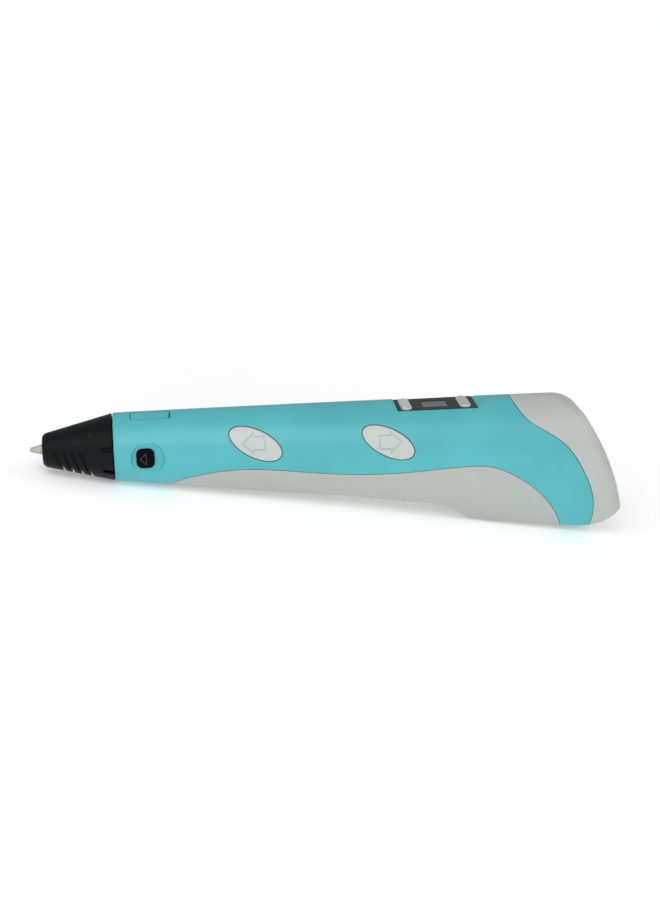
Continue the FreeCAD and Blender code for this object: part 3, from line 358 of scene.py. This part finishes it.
ceramic_white, board_green, lcd_film, sleeve = ceramic(), board(), display_glass(), sleeve_film()
LOOKS = {
    teal: ["left_shell", "right_shell", "release_latch"],
    grey: ["belly_cover"],
    lit_rear_grey: ["rear_cap", "inlet_collar"],
    button: ["feed_button", "retract_button"],
    key_plastic: ["front_key", "rear_key"],
    heat_plastic: ["heat_button"],
    nose_plastic: ["nose_cap"],
    panel_gloss: ["display_panel"],
    lcd_film: ["lcd_module"],
    ceramic_white: ["nozzle", "heater_sleeve", "thermistor"],
    barrel_metal: ["heater_barrel"],
    holder_plastic: ["nozzle_holder", "power_jack"],
    white_tube: ["feed_tube", "guide_tube", "power_connector"],
    block_plastic: ["feed_block", "idler_lever", "motor_cap"],
    switch_plastic: ["side_switches", "key_switches"],
    chip_plastic: ["controller_chip", "driver_chips", "inductor"],
    steel: ["drive_screw", "output_shaft", "motor_plate", "gearbox_case", "motor_can", "lever_pin",
            "lever_spring", "roller_axle", "jack_pin"],
    dark_steel: ["shell_screws"],
    brass: ["screw_bushes", "driven_gear", "pinion", "idler_roller"],
    board_green: ["main_board", "display_board", "power_board"],
    sleeve: ["capacitors"],
}
for material, names in LOOKS.items():
    for name in names:
        slots = nodes[name].data.materials
        slots.clear()
        slots.append(material)


# ---------------------------------------------------------------- screws with cross recesses
SCREW_PLACES = [(46, -5.1), (80, 5.4), (95.5, 5.4), (142.5, 4.5), (166.5, -22)]
SCREW_START, SCREW_TURNS = -4.8, 48
# (distance along the screw, radius): blunt point, shank, head and its rounded rim
SCREW_PROFILE = [(0.05, 0.35), (0.5, 0.62), (0.9, 0.8), (10.98, 0.8), (11.0, 0.95), (11.02, 1.86),
                 (11.1, 1.9), (11.5, 1.88), (11.8, 1.83), (12.0, 1.76), (12.12, 1.66), (12.18, 1.5)]
RECESS_REACH, RECESS_HALF, RECESS_DEPTH = 1.05, 0.27, 0.75
FLOOR_REACH, FLOOR_HALF = 0.4725, 0.189


def ring(mesh, place, points):
    """Vertices at the given points of a local frame."""
    return [mesh.verts.new(place(*point)) for point in points]


def bridge(mesh, first, second):
    """Quads between two closed rings of equally many vertices."""
    for k in range(len(first)):
        after = (k + 1) % len(first)
        mesh.faces.new((first[k], first[after], second[after], second[k]))


def cross_outline(reach, half):
    """Corners of a cross, anticlockwise."""
    arm = [(reach, -half), (reach, half), (half, half)]
    corners = []
    for quarter in range(4):
        c, s = (1, 0, -1, 0)[quarter], (0, 1, 0, -1)[quarter]
        corners += [(c * u - s * v, s * u + c * v) for u, v in arm]
    return corners


def add_screw(mesh, x, z):
    """Pan-head screw that lies along the pen's Y axis with its head towards +Y."""
    def place(along, u, v):
        return spot(x + u, SCREW_START + along, z + v)

    rings = []
    for along, radius in SCREW_PROFILE:
        angles = [2 * math.pi * k / SCREW_TURNS for k in range(SCREW_TURNS)]
        rings.append(ring(mesh, place, [(along, radius * math.cos(t), radius * math.sin(t))
                                        for t in angles]))
    for first, second in zip(rings, rings[1:]):
        bridge(mesh, first, second)
    mesh.faces.new(rings[0])
    top = SCREW_PROFILE[-1][0]
    mouth = ring(mesh, place, [(top, u, v) for u, v in cross_outline(RECESS_REACH, RECESS_HALF)])
    floor_ring = ring(mesh, place, [(top - RECESS_DEPTH, u, v)
                                    for u, v in cross_outline(FLOOR_REACH, FLOOR_HALF)])
    bridge(mesh, mouth, floor_ring)
    mesh.faces.new(floor_ring)
    edges = [mesh.edges.get((loop[k], loop[(k + 1) % len(loop)]))
             for loop in (rings[-1], mouth) for k in range(len(loop))]
    bmesh.ops.triangle_fill(mesh, use_beauty=True, edges=edges)


def mesh_piece(name, build, material, smooth_angle=35):
    """New object made from a mesh-building function."""
    mesh = bmesh.new()
    build(mesh)
    bmesh.ops.recalc_face_normals(mesh, faces=mesh.faces)
    data = bpy.data.meshes.new(name)
    mesh.to_mesh(data)
    mesh.free()
    data.shade_smooth()
    data.set_sharp_from_angle(angle=math.radians(smooth_angle))
    item = bpy.data.objects.new(name, data)
    item.data.materials.append(material)
    scene.collection.objects.link(item)
    return item


def all_screws(mesh):
    for x, z in SCREW_PLACES:
        add_screw(mesh, x, z)


screws = mesh_piece("cross_screws", all_screws, dark_steel)
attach(screws, "pen_body")
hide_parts("shell_screws")


# ---------------------------------------------------------------- triangle on the heat button, with lighter bars as a painted highlight
HEAT_X, HEAT_Z = 35.0, -0.93
TRIANGLE = [(-1.6, 0), (0.25, 1.75), (0.25, -1.75)]
BAR_HALF, BAR_STEPS = 0.13, 10
# (side as a share of the half width, lift from the groove's floor) round a bar's section
BAR_SECTION = [(-1, 0.05), (-1, -0.102), (-0.4, -0.17), (0.4, -0.17), (1, -0.102), (1, 0.05)]
OUTSIDE = -30
button_surface = BVHTree.FromPolygons([vertex.co for vertex in nodes["heat_button"].data.vertices],
                                      [face.vertices for face in nodes["heat_button"].data.polygons])


def heat_button_depth(x, z):
    """Y of the heat button's outside at a place, seen from the left side."""
    start = spot(x, OUTSIDE, z)
    hit = button_surface.ray_cast(start, pen_y)[0]
    return OUTSIDE + (hit - start).length / MM


def triangle_bars(mesh):
    """Narrow inlaid bars that lie in the groove of the triangle; their lighter colour is a painted highlight on
    the groove's edges.
    """
    for (u0, v0), (u1, v1) in zip(TRIANGLE, TRIANGLE[1:] + TRIANGLE[:1]):
        length = math.hypot(u1 - u0, v1 - v0)
        across_u, across_v = -(v1 - v0) / length * BAR_HALF, (u1 - u0) / length * BAR_HALF
        sections = []
        for step in range(BAR_STEPS + 1):
            share = step / BAR_STEPS
            x, z = HEAT_X + u0 + (u1 - u0) * share, HEAT_Z + v0 + (v1 - v0) * share
            y = heat_button_depth(x, z)
            sections.append([mesh.verts.new(spot(x + across_u * side, y + lift, z + across_v * side))
                             for side, lift in BAR_SECTION])
        for first, second in zip(sections, sections[1:]):
            bridge(mesh, first, second)
        mesh.faces.new(sections[0])
        mesh.faces.new(sections[-1])


# Light grey bars on the black button: painted highlight standing in for the shine along the engraved triangle.
triangle_highlight_paint = moulded("heat_triangle_painted_highlight", (0.055, 0.06, 0.06), 0.35, grain=6000, depth=0.1)
heat_triangle = mesh_piece("heat_triangle", triangle_bars, triangle_highlight_paint)
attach(heat_triangle, "heat_push")


# ---------------------------------------------------------------- floor
# Glow of the floor: distance from the pen's middle in metres, then strength, near and far.
GLOW_NEAR, GLOW_FAR = (0.1, 0.27), (0.45, 0.62)
FLOOR_RADIUS, FLOOR_GAP = 20, 0.0002


def floor_look():
    """Matt white paper that glows more away from the pen, so that it stays even in the picture."""
    look = Look("pale_floor")
    look.colour(look.ramp(look.noise(6, 2), 0.3, 0.7, (0.93, 0.93, 0.93), (0.96, 0.96, 0.96)))
    look.number("Roughness", 0.9)
    look.number("Specular IOR Level", 0.0)
    look.shader.inputs["Emission Color"].default_value = (1, 1, 1, 1)
    length = look.add("ShaderNodeVectorMath", operation="LENGTH")
    look.link(look.place, length.inputs[0])
    look.link(look.remap(length.outputs["Value"], GLOW_NEAR[0], GLOW_FAR[0], GLOW_NEAR[1], GLOW_FAR[1]),
              look.shader.inputs["Emission Strength"])
    return look.material


def flat_disc(name, radius, z, count=96):
    """Round floor with its middle under the pen."""
    mesh = bmesh.new()
    rim = [mesh.verts.new((centre.x + radius * math.cos(2 * math.pi * k / count),
                           centre.y + radius * math.sin(2 * math.pi * k / count), z))
           for k in range(count)]
    mesh.faces.new(rim)
    data = bpy.data.meshes.new(name)
    mesh.to_mesh(data)
    mesh.free()
    item = bpy.data.objects.new(name, data)
    scene.collection.objects.link(item)
    return item


floor = flat_disc("floor", FLOOR_RADIUS, cad_low.z - FLOOR_GAP)
floor.data.materials.append(floor_look())
